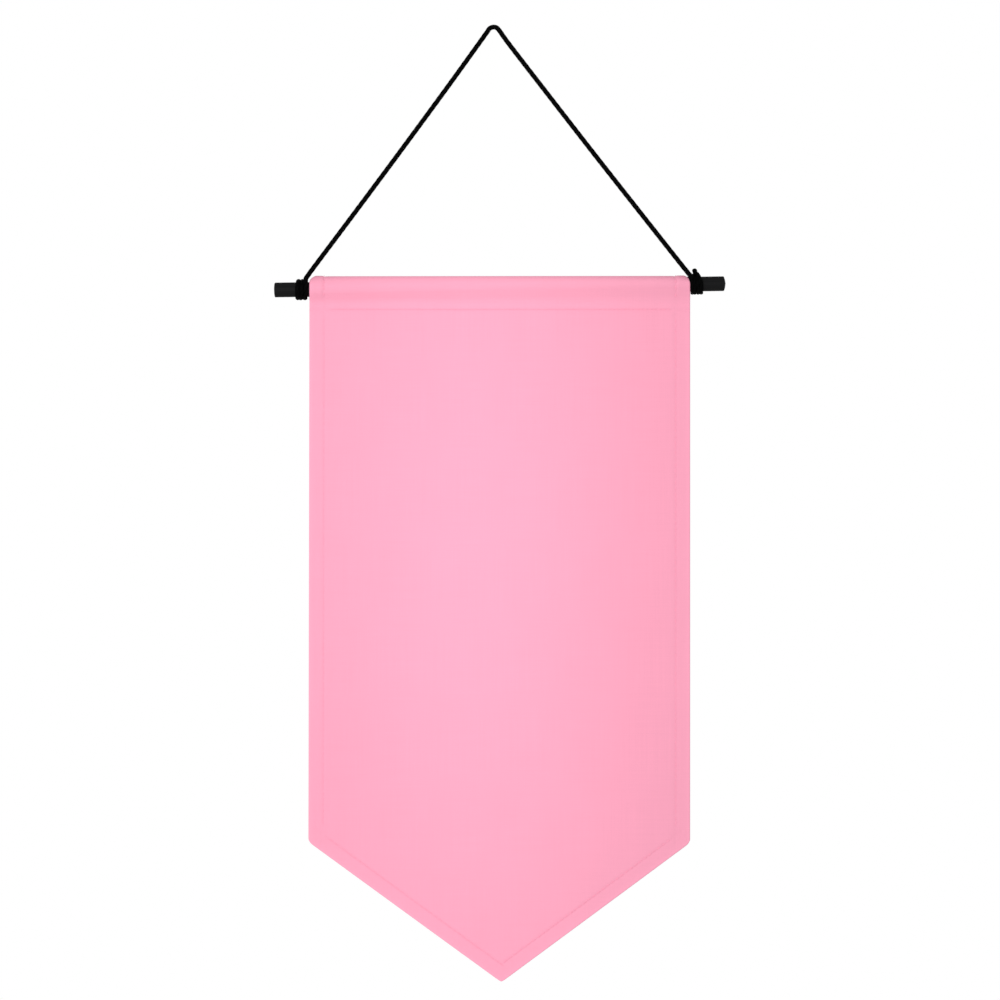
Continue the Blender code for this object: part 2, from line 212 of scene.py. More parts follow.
# Route of the hanging cord from the left winding to the right one
# x, y, z
CORD_ROUTE = (
    (-0.10100, -0.0046, -0.13515),
    (-0.10000, -0.0045, -0.13300),
    (-0.09417, -0.0041, -0.12504),
    (-0.07487, -0.0032, -0.09920),
    (-0.05130, -0.0022, -0.06740),
    (-0.02640, -0.0011, -0.03340),
    (-0.00871, -0.0003, -0.00880),
    (-0.00390, 0.0, -0.00205),
    (-0.00205, 0.0, 0.00045),
    (0.00000, 0.0, 0.00120),
    (0.00215, 0.0, 0.00045),
    (0.00405, 0.0, -0.00205),
    (0.00892, -0.0003, -0.00880),
    (0.02680, -0.0010, -0.03200),
    (0.05320, -0.0021, -0.06610),
    (0.07916, -0.0032, -0.09920),
    (0.09952, -0.0041, -0.12504),
    (0.10490, -0.0047, -0.13178),
    (0.10583, -0.0051, -0.13310),
)

# Free end of the cord, standing up out of the right winding
# x, y, z, width
FREE_END_ROUTE = (
    (0.10856, -0.0026, -0.13140, 0.00225),
    (0.10842, -0.0026, -0.13075, 0.00240),
    (0.10812, -0.0027, -0.13010, 0.00245),
    (0.10790, -0.0028, -0.12950, 0.00225),
    (0.10780, -0.0028, -0.12912, 0.00150),
)

# Colours
PINK_CLOTH = (0.935, 0.367, 0.503)
PINK_THREAD = (0.92, 0.350, 0.483)
BLACK_CORD = (0.0010, 0.0010, 0.0011)
# Colour of the painted glints on the cord
PAINTED_GLINT_COLOUR = (0.060, 0.058, 0.060)
BLACK_PAINT = (0.0086, 0.0086, 0.0090)
PALE_FLOOR = (0.86, 0.86, 0.86)

# Weave: pitch of its threads, how much each unevenness changes the brightness, how much the casing
# darkens over the dowel (show-through and painted shade), and how much painted shade darkens the
# stitch grooves
WEAVE_PITCH = 0.00042
WEAVE_SHADE = 0.10
WEAVE_BASE = 0.93
SLUB_SHADE = 0.045
MOTTLE_SHADE = 0.03
ROD_SHADE = 0.04
GROOVE_SHADE = 0.015
WARP_SLUB_SCALE = (1900.0, 22.0, 1.0)
WEFT_SLUB_SCALE = (30.0, 1900.0, 1.0)
MOTTLE_SCALE = (45.0, 30.0, 1.0)
WEAVE_RELIEF = 0.00010

# Yarns, fibres, and the painted glints (pale specks) along the cord
YARN_SCALE = 5200.0
YARN_SLANT = 42.0
FIBRE_SCALE = (900.0, 14.0, 1.0)
SPECK_SCALE = (1500.0, 6.0, 1.0)
SPECK_SHARPNESS = 9.0
SPECK_THRESHOLD = 6.5
YARN_RELIEF = 0.00008

# Grain and patches of the painted dowel
GRAIN_SCALE = (60.0, 1600.0, 1600.0)
PATCH_SCALE = (90.0, 160.0, 160.0)
GRAIN_RELIEF = 0.00006


def mix(start, end, share):
    return start + (end - start) * share


def smooth_share(value, start, end):
    share = min(max((value - start) / (end - start), 0.0), 1.0)
    return share * share * (3.0 - 2.0 * share)


def bell(value, centre, spread):
    return math.exp(-((value - centre) / spread) ** 2)


# Node trees

def add_node(tree, kind, settings=None, **values):
    # Settings are the node's own properties, values its unlinked inputs by name
    node = tree.nodes.new(kind)
    for name, value in (settings or {}).items():
        setattr(node, name, value)
    for name, value in values.items():
        node.inputs[name.replace("_", " ")].default_value = value
    return node


def math_node(tree, operation, *inputs):
    # Each input is a number or another node's output
    node = tree.nodes.new("ShaderNodeMath")
    node.operation = operation
    for socket, value in zip(node.inputs, inputs):
        if isinstance(value, (int, float)):
            socket.default_value = value
        else:
            tree.links.new(value, socket)
    return node.outputs[0]


def new_finish(name):
    material = bpy.data.materials.new(name)
    material.use_nodes = True
    return material, material.node_tree, material.node_tree.nodes["Principled BSDF"]


def tinted(tree, colour, brightness):
    # The colour times a brightness that varies over the piece
    node = tree.nodes.new("ShaderNodeVectorMath")
    node.operation = "SCALE"
    node.inputs[0].default_value = colour
    tree.links.new(brightness, node.inputs["Scale"])
    return node.outputs[0]


def surface_bump(tree, shader, height, distance, strength):
    node = add_node(tree, "ShaderNodeBump", Strength=strength, Distance=distance)
    tree.links.new(height, node.inputs["Height"])
    tree.links.new(node.outputs["Normal"], shader.inputs["Normal"])


def stretched_noise(tree, vector, scale, detail):
    mapping = add_node(tree, "ShaderNodeMapping", Scale=scale)
    tree.links.new(vector, mapping.inputs["Vector"])
    noise = add_node(tree, "ShaderNodeTexNoise", Scale=1.0, Detail=detail)
    tree.links.new(mapping.outputs["Vector"], noise.inputs["Vector"])
    return noise.outputs["Fac"]


def woven_cloth_finish():
    # Plain weave of even threads, a few thicker ones, faint mottling; the black dowel showing
    # faintly through the casing with painted shade under its bulge; painted shade in the stitch
    # grooves; painted light on the edges and middle
    material, tree, shader = new_finish("pink_plain_weave")
    shader.inputs["Roughness"].default_value = 0.88
    shader.inputs["Sheen Weight"].default_value = 0.12
    shader.inputs["Sheen Roughness"].default_value = 0.5
    shader.inputs["Specular IOR Level"].default_value = 0.2
    place = add_node(tree, "ShaderNodeAttribute", {"attribute_name": "cloth_place"})
    parts = tree.nodes.new("ShaderNodeSeparateXYZ")
    tree.links.new(place.outputs["Vector"], parts.inputs[0])
    threads_per_metre = math.pi / WEAVE_PITCH
    across_place = math_node(tree, "MULTIPLY", parts.outputs[0], threads_per_metre)
    along_place = math_node(tree, "MULTIPLY", parts.outputs[1], threads_per_metre)
    across = math_node(tree, "SINE", across_place)
    along = math_node(tree, "SINE", along_place)
    over_under = math_node(tree, "MULTIPLY", across, along)
    warp = math_node(tree, "ADD", math_node(tree, "ABSOLUTE", across), over_under)
    weft = math_node(tree, "SUBTRACT", math_node(tree, "ABSOLUTE", along), over_under)
    threads = math_node(tree, "MULTIPLY", math_node(tree, "MAXIMUM", warp, weft), 0.5)
    thick_warp = stretched_noise(tree, place.outputs["Vector"], WARP_SLUB_SCALE, 1.0)
    thick_weft = stretched_noise(tree, place.outputs["Vector"], WEFT_SLUB_SCALE, 1.0)
    mottle = stretched_noise(tree, place.outputs["Vector"], MOTTLE_SCALE, 2.0)
    brightness = math_node(tree, "MULTIPLY_ADD", threads, WEAVE_SHADE, WEAVE_BASE)
    uneven = math_node(tree, "ADD", thick_warp, thick_weft)
    slubs = math_node(tree, "MULTIPLY_ADD", uneven, SLUB_SHADE, -SLUB_SHADE)
    brightness = math_node(tree, "ADD", brightness, slubs)
    clouds = math_node(tree, "MULTIPLY_ADD", mottle, MOTTLE_SHADE, -0.5 * MOTTLE_SHADE)
    brightness = math_node(tree, "ADD", brightness, clouds)
    # The black dowel showing faintly through the casing, with painted shade under the casing's
    # bulge
    rod = add_node(tree, "ShaderNodeAttribute", {"attribute_name": "rod_behind"})
    show_through_and_shade = math_node(tree, "MULTIPLY_ADD", rod.outputs["Fac"], -ROD_SHADE, 1.0)
    # Painted shade in the stitch grooves, deepest at the needle holes
    groove_shade_node = add_node(tree, "ShaderNodeAttribute", {"attribute_name": "stitch_groove"})
    painted_groove_shade = math_node(tree, "MULTIPLY_ADD", groove_shade_node.outputs["Fac"], -GROOVE_SHADE, 1.0)
    # Painted light: paler edges and a brighter middle
    painted_light_share = add_node(tree, "ShaderNodeAttribute", {"attribute_name": "paleness"})
    painted_light_factor = math_node(tree, "ADD", painted_light_share.outputs["Fac"], 1.0)
    for change in (show_through_and_shade, painted_groove_shade, painted_light_factor):
        brightness = math_node(tree, "MULTIPLY", brightness, change)
    tree.links.new(tinted(tree, PINK_CLOTH, brightness), shader.inputs["Base Color"])
    height = math_node(tree, "MULTIPLY_ADD", uneven, 0.35, threads)
    surface_bump(tree, shader, height, WEAVE_RELIEF, 0.55)
    return material


def sewing_thread_finish():
    # Fine twisted thread, slightly deeper in colour than the cloth
    material, tree, shader = new_finish("pink_sewing_thread")
    shader.inputs["Roughness"].default_value = 0.7
    shader.inputs["Sheen Weight"].default_value = 0.2
    place = tree.nodes.new("ShaderNodeTexCoord")
    fibres = stretched_noise(tree, place.outputs["Object"], (5200.0, 5200.0, 5200.0), 1.0)
    tree.links.new(
        tinted(tree, PINK_THREAD, math_node(tree, "MULTIPLY_ADD", fibres, 0.2, 0.9)),
        shader.inputs["Base Color"],
    )
    surface_bump(tree, shader, fibres, 0.00006, 0.5)
    return material


def twisted_cord_finish():
    # Fine yarns running slantwise along each strand; painted shade in the grooves between strands,
    # painted highlight and painted glints (pale specks) on the crests
    material, tree, shader = new_finish("black_twisted_yarn")
    shader.inputs["Specular IOR Level"].default_value = 0.02
    place = add_node(tree, "ShaderNodeAttribute", {"attribute_name": "cord_place"})
    parts = tree.nodes.new("ShaderNodeSeparateXYZ")
    tree.links.new(place.outputs["Vector"], parts.inputs[0])
    slant = math_node(
        tree, "ADD", math_node(tree, "MULTIPLY", parts.outputs[0], YARN_SCALE),
        math_node(tree, "MULTIPLY", parts.outputs[1], YARN_SLANT),
    )
    yarns = math_node(tree, "MULTIPLY_ADD", math_node(tree, "SINE", slant), 0.5, 0.5)
    fibres = stretched_noise(tree, place.outputs["Vector"], FIBRE_SCALE, 3.0)
    # Painted shade and highlight: darker in the grooves between strands, lighter on their crests,
    # with random fibre tone
    crest = math_node(tree, "MULTIPLY", parts.outputs[2], fibres)
    brightness = math_node(tree, "ADD", math_node(tree, "MULTIPLY", crest, 2.2), 0.25)
    # Painted glints: pale specks on the strands' crests
    specks = stretched_noise(tree, place.outputs["Vector"], SPECK_SCALE, 1.0)
    painted_light_share = math_node(tree, "MULTIPLY_ADD", specks, SPECK_SHARPNESS, -SPECK_THRESHOLD)
    painted_light_share = math_node(tree, "MAXIMUM", painted_light_share, 0.0)
    painted_light_share = math_node(tree, "MINIMUM", painted_light_share, 1.0)
    painted_light_share = math_node(tree, "MULTIPLY", painted_light_share, crest)
    colour = tree.nodes.new("ShaderNodeVectorMath")
    colour.operation = "ADD"
    tree.links.new(tinted(tree, BLACK_CORD, brightness), colour.inputs[0])
    tree.links.new(tinted(tree, PAINTED_GLINT_COLOUR, painted_light_share), colour.inputs[1])
    tree.links.new(colour.outputs[0], shader.inputs["Base Color"])
    roughness = math_node(tree, "MULTIPLY_ADD", fibres, 0.35, 0.3)
    tree.links.new(roughness, shader.inputs["Roughness"])
    height = math_node(tree, "ADD", yarns, math_node(tree, "MULTIPLY", fibres, 0.8))
    surface_bump(tree, shader, height, YARN_RELIEF, 0.6)
    return material


def painted_dowel_finish():
    # Thin black paint over wood: the grain runs along the rod, the brush marks too
    material, tree, shader = new_finish("black_paint_on_wood")
    shader.inputs["Specular IOR Level"].default_value = 0.03
    place = tree.nodes.new("ShaderNodeTexCoord")
    grain = stretched_noise(tree, place.outputs["Object"], GRAIN_SCALE, 3.0)
    patches = stretched_noise(tree, place.outputs["Object"], PATCH_SCALE, 2.0)
    brightness = math_node(tree, "ADD", math_node(tree, "MULTIPLY", grain, 0.8), 0.6)
    tree.links.new(tinted(tree, BLACK_PAINT, brightness), shader.inputs["Base Color"])
    roughness = math_node(tree, "MULTIPLY_ADD", patches, 0.18, 0.42)
    tree.links.new(roughness, shader.inputs["Roughness"])
    surface_bump(tree, shader, grain, GRAIN_RELIEF, 0.5)
    return material


# Camera

def make_camera():
    data = bpy.data.cameras.new("picture_camera")
    data.sensor_width = SENSOR_WIDTH
    data.lens = SENSOR_WIDTH * CAMERA_DISTANCE / PICTURE_WIDTH
    data.clip_end = 50.0
    camera = bpy.data.objects.new("picture_camera", data)
    camera.location = (PICTURE_CENTRE_X, -CAMERA_DISTANCE, PICTURE_CENTRE_Z)
    camera.rotation_euler = (0.5 * math.pi, 0.0, 0.0)
    bpy.context.scene.collection.objects.link(camera)
    bpy.context.scene.camera = camera


# Cord

def dowel_axis_z(x):
    return mix(DOWEL_LEFT_Z, DOWEL_RIGHT_Z, (x - DOWEL_LEFT_X) / (DOWEL_RIGHT_X - DOWEL_LEFT_X))


def winding_stations(winding):
    # Stations of the wound cord: place, outward direction, width and height
    stations = []
    for start, end in zip(winding, winding[1:]):
        steps = max(1, round(abs(end[0] - start[0]) / TURN_STEP))
        for step in range(steps):
            stations.append(wound_station(start, end, step / steps))
    stations.append(wound_station(winding[-1], winding[-1], 0.0))
    return stations


def wound_station(start, end, share):
    angle = math.radians(mix(start[0], end[0], share))
    x = mix(start[1], end[1], share)
    radius = mix(start[2], end[2], share)
    width = mix(start[3], end[3], share)
    outward = (0.0, math.cos(angle), math.sin(angle))
    place = (x, radius * outward[1], dowel_axis_z(x) + radius * outward[2])
    return (*place, *outward, width, WOUND_HEIGHT)


def route_stations(route):
    return [(*place, *CORD_FACING, CORD_DIAMETER, CORD_DIAMETER) for place in route]


def free_end_stations(route):
    return [(*row[:3], *FREE_END_FACING, row[3], row[3]) for row in route]


def curve_points(stations):
    # Smooth curve through all stations, then evenly spaced along its length
    rows = np.array(stations)
    rows = np.vstack([2.0 * rows[0] - rows[1], rows, 2.0 * rows[-1] - rows[-2]])
    dense = []
    for index in range(1, len(rows) - 2):
        before, here, after, beyond = rows[index - 1:index + 3]
        count = max(2, int(np.linalg.norm(after[:3] - here[:3]) / ROUTE_SAMPLE_STEP))
        share = np.linspace(0.0, 1.0, count, endpoint=False)[:, None]
        dense.append(
            0.5 * (
                2.0 * here
                + (after - before) * share
                + (2.0 * before - 5.0 * here + 4.0 * after - beyond) * share ** 2
                + (3.0 * here - before - 3.0 * after + beyond) * share ** 3
            )
        )
    dense = np.vstack(dense + [rows[-2][None, :]])
    steps = np.linalg.norm(np.diff(dense[:, :3], axis=0), axis=1)
    lengths = np.concatenate([[0.0], np.cumsum(steps)])
    count = int(lengths[-1] / CORD_SECTION_STEP)
    wanted = np.linspace(0.0, lengths[-1], count)
    return np.column_stack([np.interp(wanted, lengths, column) for column in dense.T]), wanted


def strand_outline(angle):
    # Distance from the cord's middle to the outside of its three strands, for a radius of 1
    nearest = (angle + math.pi / 3.0) % (2.0 * math.pi / 3.0) - math.pi / 3.0
    side = STRAND_CENTRE_SHARE * math.sin(nearest)
    return STRAND_CENTRE_SHARE * math.cos(nearest) + math.sqrt(STRAND_SHARE ** 2 - side ** 2)


def make_cord(finish):
    stations = winding_stations(LEFT_WINDING) + route_stations(CORD_ROUTE)
    stations += winding_stations(RIGHT_WINDING) + free_end_stations(FREE_END_ROUTE)
    rows, lengths = curve_points(stations)
    places = rows[:, :3]
    forward = np.gradient(places, axis=0)
    forward /= np.linalg.norm(forward, axis=1)[:, None]
    outward = rows[:, 3:6]
    outward = outward - forward * np.sum(outward * forward, axis=1)[:, None]
    outward /= np.linalg.norm(outward, axis=1)[:, None]
    sideways = np.cross(forward, outward)
    steps = np.arange(CORD_SECTION_SIDES) * 2.0 * math.pi / CORD_SECTION_SIDES
    outline = np.array([strand_outline(step) for step in steps])
    crest = (outline - outline.min()) / (outline.max() - outline.min())

    verts = []
    cord_place = []
    for place, up, side, width, height, length in zip(
        places, outward, sideways, rows[:, 6], rows[:, 7], lengths
    ):
        turn = steps + 2.0 * math.pi * length / CORD_LAY
        ring = place + np.outer(0.5 * height * outline * np.cos(turn), up)
        ring = ring + np.outer(0.5 * width * outline * np.sin(turn), side)
        verts.append(ring)
        cord_place.append(np.column_stack([np.full_like(steps, length), steps, crest]))
    sides = CORD_SECTION_SIDES
    count = len(places)
    faces = []
    for ring in range(count - 1):
        for side in range(sides):
            after = (side + 1) % sides
            start = ring * sides
            faces.append((start + side, start + after, start + sides + after, start + sides + side))
    start_cap = places[0] - START_CAP_HEIGHT * forward[0]
    end_cap = places[-1] + END_CAP_HEIGHT * forward[-1]
    for side in range(sides):
        after = (side + 1) % sides
        last = (count - 1) * sides
        faces.append((after, side, count * sides))
        faces.append((last + side, last + after, count * sides + 1))
    verts = np.vstack(verts + [start_cap, end_cap])
    ends = [[0.0, 0.0, 0.5], [lengths[-1], 0.0, 0.5]]
    cord = mesh_object("twisted_cord", verts, faces, finish)
    store_vectors(cord.data, "cord_place", np.vstack(cord_place + [ends]))
    path = [tuple(place) for place in places[::SECTIONS_PER_PATH_POINT]]
    return cord, path + [tuple(places[-1])]


def mesh_object(name, verts, faces, finish):
    mesh = bpy.data.meshes.new(name)
    mesh.from_pydata([tuple(vert) for vert in verts], [], faces)
    shell = bmesh.new()
    shell.from_mesh(mesh)
    bmesh.ops.recalc_face_normals(shell, faces=shell.faces)
    shell.to_mesh(mesh)
    shell.free()
    mesh.shade_smooth()
    mesh.materials.append(finish)
    made = bpy.data.objects.new(name, mesh)
    bpy.context.scene.collection.objects.link(made)
    return made


def store_vectors(mesh, name, values):
    attribute = mesh.attributes.new(name, "FLOAT_VECTOR", "POINT")
    attribute.data.foreach_set("vector", np.asarray(values, dtype=np.float32).ravel())


def store_numbers(mesh, name, values):
    attribute = mesh.attributes.new(name, "FLOAT", "POINT")
    attribute.data.foreach_set("value", np.asarray(values, dtype=np.float32))


# Cloth

def left_edge_x(z):
    share = (FOLD_LEFT_Z - z) / (FOLD_LEFT_Z - SHOULDER_LEFT_Z)
    return mix(LEFT_TOP_X, LEFT_FOOT_X, min(max(share, 0.0), 1.0))


def left_slant_z(x):
    return mix(SHOULDER_LEFT_Z, POINT_Z, (x - LEFT_FOOT_X) / (POINT_X - LEFT_FOOT_X))


def right_slant_z(x):
    return mix(SHOULDER_RIGHT_Z, POINT_Z, (RIGHT_X - x) / (RIGHT_X - POINT_X))


def foot_z(x):
    # The two slanted edges meet in a slightly rounded point
    left_z = left_slant_z(x)
    right_z = right_slant_z(x)
    return 0.5 * (left_z + right_z) + math.hypot(0.5 * (left_z - right_z), POINT_ROUNDING)


def edge_distances(x, z):
    # How far a place lies in from the nearest side, and from the nearest slant
    left_slope = (SHOULDER_LEFT_Z - POINT_Z) / (POINT_X - LEFT_FOOT_X)
    right_slope = (SHOULDER_RIGHT_Z - POINT_Z) / (RIGHT_X - POINT_X)
    from_left_slant = (z - left_slant_z(x)) / math.hypot(1.0, left_slope)
    from_right_slant = (z - right_slant_z(x)) / math.hypot(1.0, right_slope)
    side = min(x - left_edge_x(z), RIGHT_X - x)
    slant = min(from_left_slant, from_right_slant)
    return max(side, 0.0), max(slant, 0.0)


def swell(x, z):
    rise = sum(
        height * bell(x, centre_x, half_width) * bell(z, centre_z, half_height)
        for centre_x, centre_z, half_width, half_height, height in SWELLS
    )
    return rise * smooth_share(SEAM_Z - z, 0.0, SWELL_START)


def edge_roll(distance):
    # The folded edge is round
    inward = max(EDGE_RADIUS - distance, 0.0)
    return EDGE_RADIUS - math.sqrt(max(EDGE_RADIUS ** 2 - inward ** 2, 0.0))


def stitch_groove(distance):
    return bell(distance, STITCH_INSET, STITCH_SPREAD)


def front_relief(x, z, column, row):
    # Grooves pulled in by the stitches, deepest at the needle holes
    side, slant = edge_distances(x, z)
    side_pull = 1.0 + PUCKER_SHARE * (-1.0) ** row
    slant_pull = 1.0 + PUCKER_SHARE * (-1.0) ** column
    depths = (
        STITCH_DEPTH * side_pull * stitch_groove(side) if slant > HEM_WIDTH * 0.5 else 0.0,
        STITCH_DEPTH * slant_pull * stitch_groove(slant) if side > HEM_WIDTH * 0.5 else 0.0,
        SEAM_DEPTH * slant_pull * bell(z, SEAM_Z, SEAM_SPREAD),
    )
    distance = min(side, slant)
    hollow = HEM_HOLLOW * bell(distance, 0.5 * STITCH_INSET, 2.0 * STITCH_SPREAD)
    return max(depths), hollow, distance


def front_y(x, z, column, row):
    depth, hollow, distance = front_relief(x, z, column, row)
    return FRONT_Y - swell(x, z) + edge_roll(distance) + depth + hollow


def back_y(x, z, column, row):
    depth, hollow, distance = front_relief(x, z, column, row)
    dent = 0.6 * depth
    if z > FLAP_FOOT_Z - 0.5 * FLAP_STEP:
        share = smooth_share(z, SEAM_Z + SEAM_SPREAD, TUNNEL_FOOT_Z)
        return mix(FLAP_BACK_Y, FLAP_TOP_BACK_Y, share) - swell(x, z) - dent - edge_roll(distance)
    share = smooth_share(distance, HEM_WIDTH, HEM_WIDTH + HEM_STEP)
    thickness = mix(HEM_THICKNESS, CLOTH_THICKNESS, share)
    return FRONT_Y - swell(x, z) + thickness - dent * (1.0 - share) - edge_roll(distance)


def fold_top_z(x):
    return mix(FOLD_LEFT_Z, FOLD_RIGHT_Z, (x - LEFT_TOP_X) / (RIGHT_X - LEFT_TOP_X))


def tunnel_section(x):
    # Closed section as (y, z): foot, up the front, over the top and down the back
    axis_z = dowel_axis_z(x)
    radius = DOWEL_RADIUS + CASING_CLEARANCE
    knee_z = TUNNEL_FOOT_Z + KNEE_RISE
    reach = math.hypot(KNEE_HALF_WIDTH, knee_z - axis_z)
    tangent_angle = math.atan2(knee_z - axis_z, KNEE_HALF_WIDTH) + math.acos(radius / reach)
    tangent = (radius * math.cos(tangent_angle), axis_z + radius * math.sin(tangent_angle))
    half = [(0.0, TUNNEL_FOOT_Z), (KNEE_HALF_WIDTH, knee_z)]
    half.append((mix(KNEE_HALF_WIDTH, tangent[0], 0.5), mix(knee_z, tangent[1], 0.5)))
    for step in range(ARC_STEPS):
        angle = mix(tangent_angle, 0.0, step / ARC_STEPS)
        half.append((radius * math.cos(angle), axis_z + radius * math.sin(angle)))
    arch_height = fold_top_z(x) - CASING_WALL - axis_z
    for step in range(ARCH_STEPS // 2 + 1):
        angle = math.pi * step / ARCH_STEPS
        half.append((radius * math.cos(angle), axis_z + arch_height * math.sin(angle)))
    front = [(-half_width, z) for half_width, z in half]
    back = [(half_width, z) for half_width, z in reversed(half[1:-1])]
    return front + back


def casing_section(x):
    # Outside of the casing as (y, z): the tunnel's section moved out by the wall
    inner = tunnel_section(x)
    count = len(inner)
    distance = min(x - LEFT_TOP_X, RIGHT_X - x)
    band = 1.0 - smooth_share(distance, STITCH_INSET - STITCH_SPREAD, STITCH_INSET)
    band -= CASING_GROOVE_SHARE * stitch_groove(distance)
    end_share = 1.0 - CASING_END_THINNING * edge_roll(distance) / EDGE_RADIUS
    outer = []
    for index in range(1, count):
        before = Vector(inner[index - 1])
        after = Vector(inner[(index + 1) % count])
        step = (after - before).normalized()
        outward = Vector((-step.y, step.x))
        here = Vector(inner[index])
        fade = smooth_share(here.y, TUNNEL_FOOT_Z, dowel_axis_z(x))
        wall = CASING_WALL + CASING_HEM_RAISE * band * fade
        outer.append(here + outward * wall * end_share)
    return outer


def corner_setback(x, outer_z, setback):
    # The cord presses the casing's top corners in
    start_z = fold_top_z(x) - CORNER_DROP
    share = max(0.0, (outer_z - start_z) / CORNER_DROP)
    return setback * share ** CORNER_POWER


def column_x(column, z, left_setback, right_setback):
    left = left_edge_x(z)
    count = len(EDGE_INSETS)
    last = 2 * (count + FIELD_COLUMNS) - 2
    if column < count:
        inset = EDGE_INSETS[column]
        return left + inset + left_setback * max(0.0, 1.0 - inset / STITCH_INSET)
    if column > last - count:
        inset = EDGE_INSETS[last - column]
        return RIGHT_X - inset - right_setback * max(0.0, 1.0 - inset / STITCH_INSET)
    step = column - (count - 1)
    if step <= FIELD_COLUMNS:
        return mix(left + EDGE_INSETS[-1], POINT_X, step / FIELD_COLUMNS)
    return mix(POINT_X, RIGHT_X - EDGE_INSETS[-1], (step - FIELD_COLUMNS) / FIELD_COLUMNS)


def column_count():
    return 2 * (len(EDGE_INSETS) + FIELD_COLUMNS) - 1


def panel_row_heights(x):
    # Heights from the slanted foot up to the tunnel's foot
    foot = foot_z(x)
    heights = [foot + inset * FOOT_SLANT for inset in EDGE_INSETS]
    ramp_foot = FLAP_FOOT_Z - FLAP_STEP
    for step in range(1, FIELD_ROWS):
        heights.append(mix(heights[len(EDGE_INSETS) - 1], ramp_foot, step / FIELD_ROWS))
    heights.append(ramp_foot)
    heights += [FLAP_FOOT_Z + rise for rise in FLAP_ROW_RISES]
    heights += [SEAM_Z + offset * SEAM_SPREAD for offset in SEAM_ROW_OFFSETS]
    heights += [mix(heights[-1], TUNNEL_FOOT_Z, 0.5), TUNNEL_FOOT_Z]
    return heights


def round_shoulder(x, z):
    # Draws the two bottom corners in a little
    foot = foot_z(x)
    near_foot = max(0.0, 1.0 - (z - foot) / ROUNDING_REACH) ** 2
    side = min(x - left_edge_x(z), RIGHT_X - x)
    near_side = max(0.0, 1.0 - side / ROUNDING_REACH) ** 2
    pull = SHOULDER_ROUNDING * near_foot * near_side
    towards_middle = 1.0 if x < POINT_X else -1.0
    return x + pull * towards_middle, z + pull


def panel_point(column, row, heights, is_front):
    z = heights[row]
    x = column_x(column, z, 0.0, 0.0)
    y = front_y(x, z, column, row) if is_front else back_y(x, z, column, row)
    # How deep the stitches pull the cloth in here sets the painted shade in the stitch grooves
    painted_groove_shade = front_relief(x, z, column, row)[0] / SEAM_DEPTH
    x, z = round_shoulder(x, z)
    return (x, y, z), (x, z, 0.0), 0.0, painted_groove_shade


def casing_points(column, is_outer, outer, inner):
    # Points of one column round the casing, with the cloth's own length along them
    x = column_x(column, FOLD_LEFT_Z, 0.0, 0.0)
    distance = min(x - LEFT_TOP_X, RIGHT_X - x)
    painted_groove_shade = stitch_groove(distance)
    points = []
    along = TUNNEL_FOOT_Z
    before = Vector((0.0, TUNNEL_FOOT_Z))
    for index, outer_place in enumerate(outer):
        left_setback = corner_setback(x, outer_place[1], CORNER_LEFT_SETBACK)
        right_setback = corner_setback(x, outer_place[1], CORNER_RIGHT_SETBACK)
        y, z = outer_place if is_outer else inner[index + 1]
        place_x = column_x(column, FOLD_LEFT_Z, left_setback, right_setback)
        along += (outer_place - before).length
        before = outer_place
        # Darker over the dowel: the dowel showing through, with painted shade under the bulge,
        # darkest near the dowel's lower edge
        rod_z = dowel_axis_z(x) - ROD_SHADOW_DROP
        core = ROD_SHADOW_CORE * DOWEL_RADIUS
        rod = 1.0 - smooth_share(abs(z - rod_z), core, ROD_SHADOW_REACH * DOWEL_RADIUS)
        points.append(((place_x, y, z), (place_x, along, 0.0), rod, painted_groove_shade))
    return points


def paleness(x, z):
    # Painted light: edges painted paler as a glow, and a painted pool of light that makes the
    # middle brighter than the sides
    side, slant = edge_distances(x, z)
    edge = EDGE_GLOW_SHARE * math.exp(-min(side, slant) / EDGE_GLOW_WIDTH)
    middle = bell(x, LIGHT_POOL_X, LIGHT_POOL_HALF_WIDTH) * bell(z, LIGHT_POOL_Z, LIGHT_POOL_HALF_HEIGHT)
    return edge + LIGHT_POOL_SHARE * (middle - 0.5)


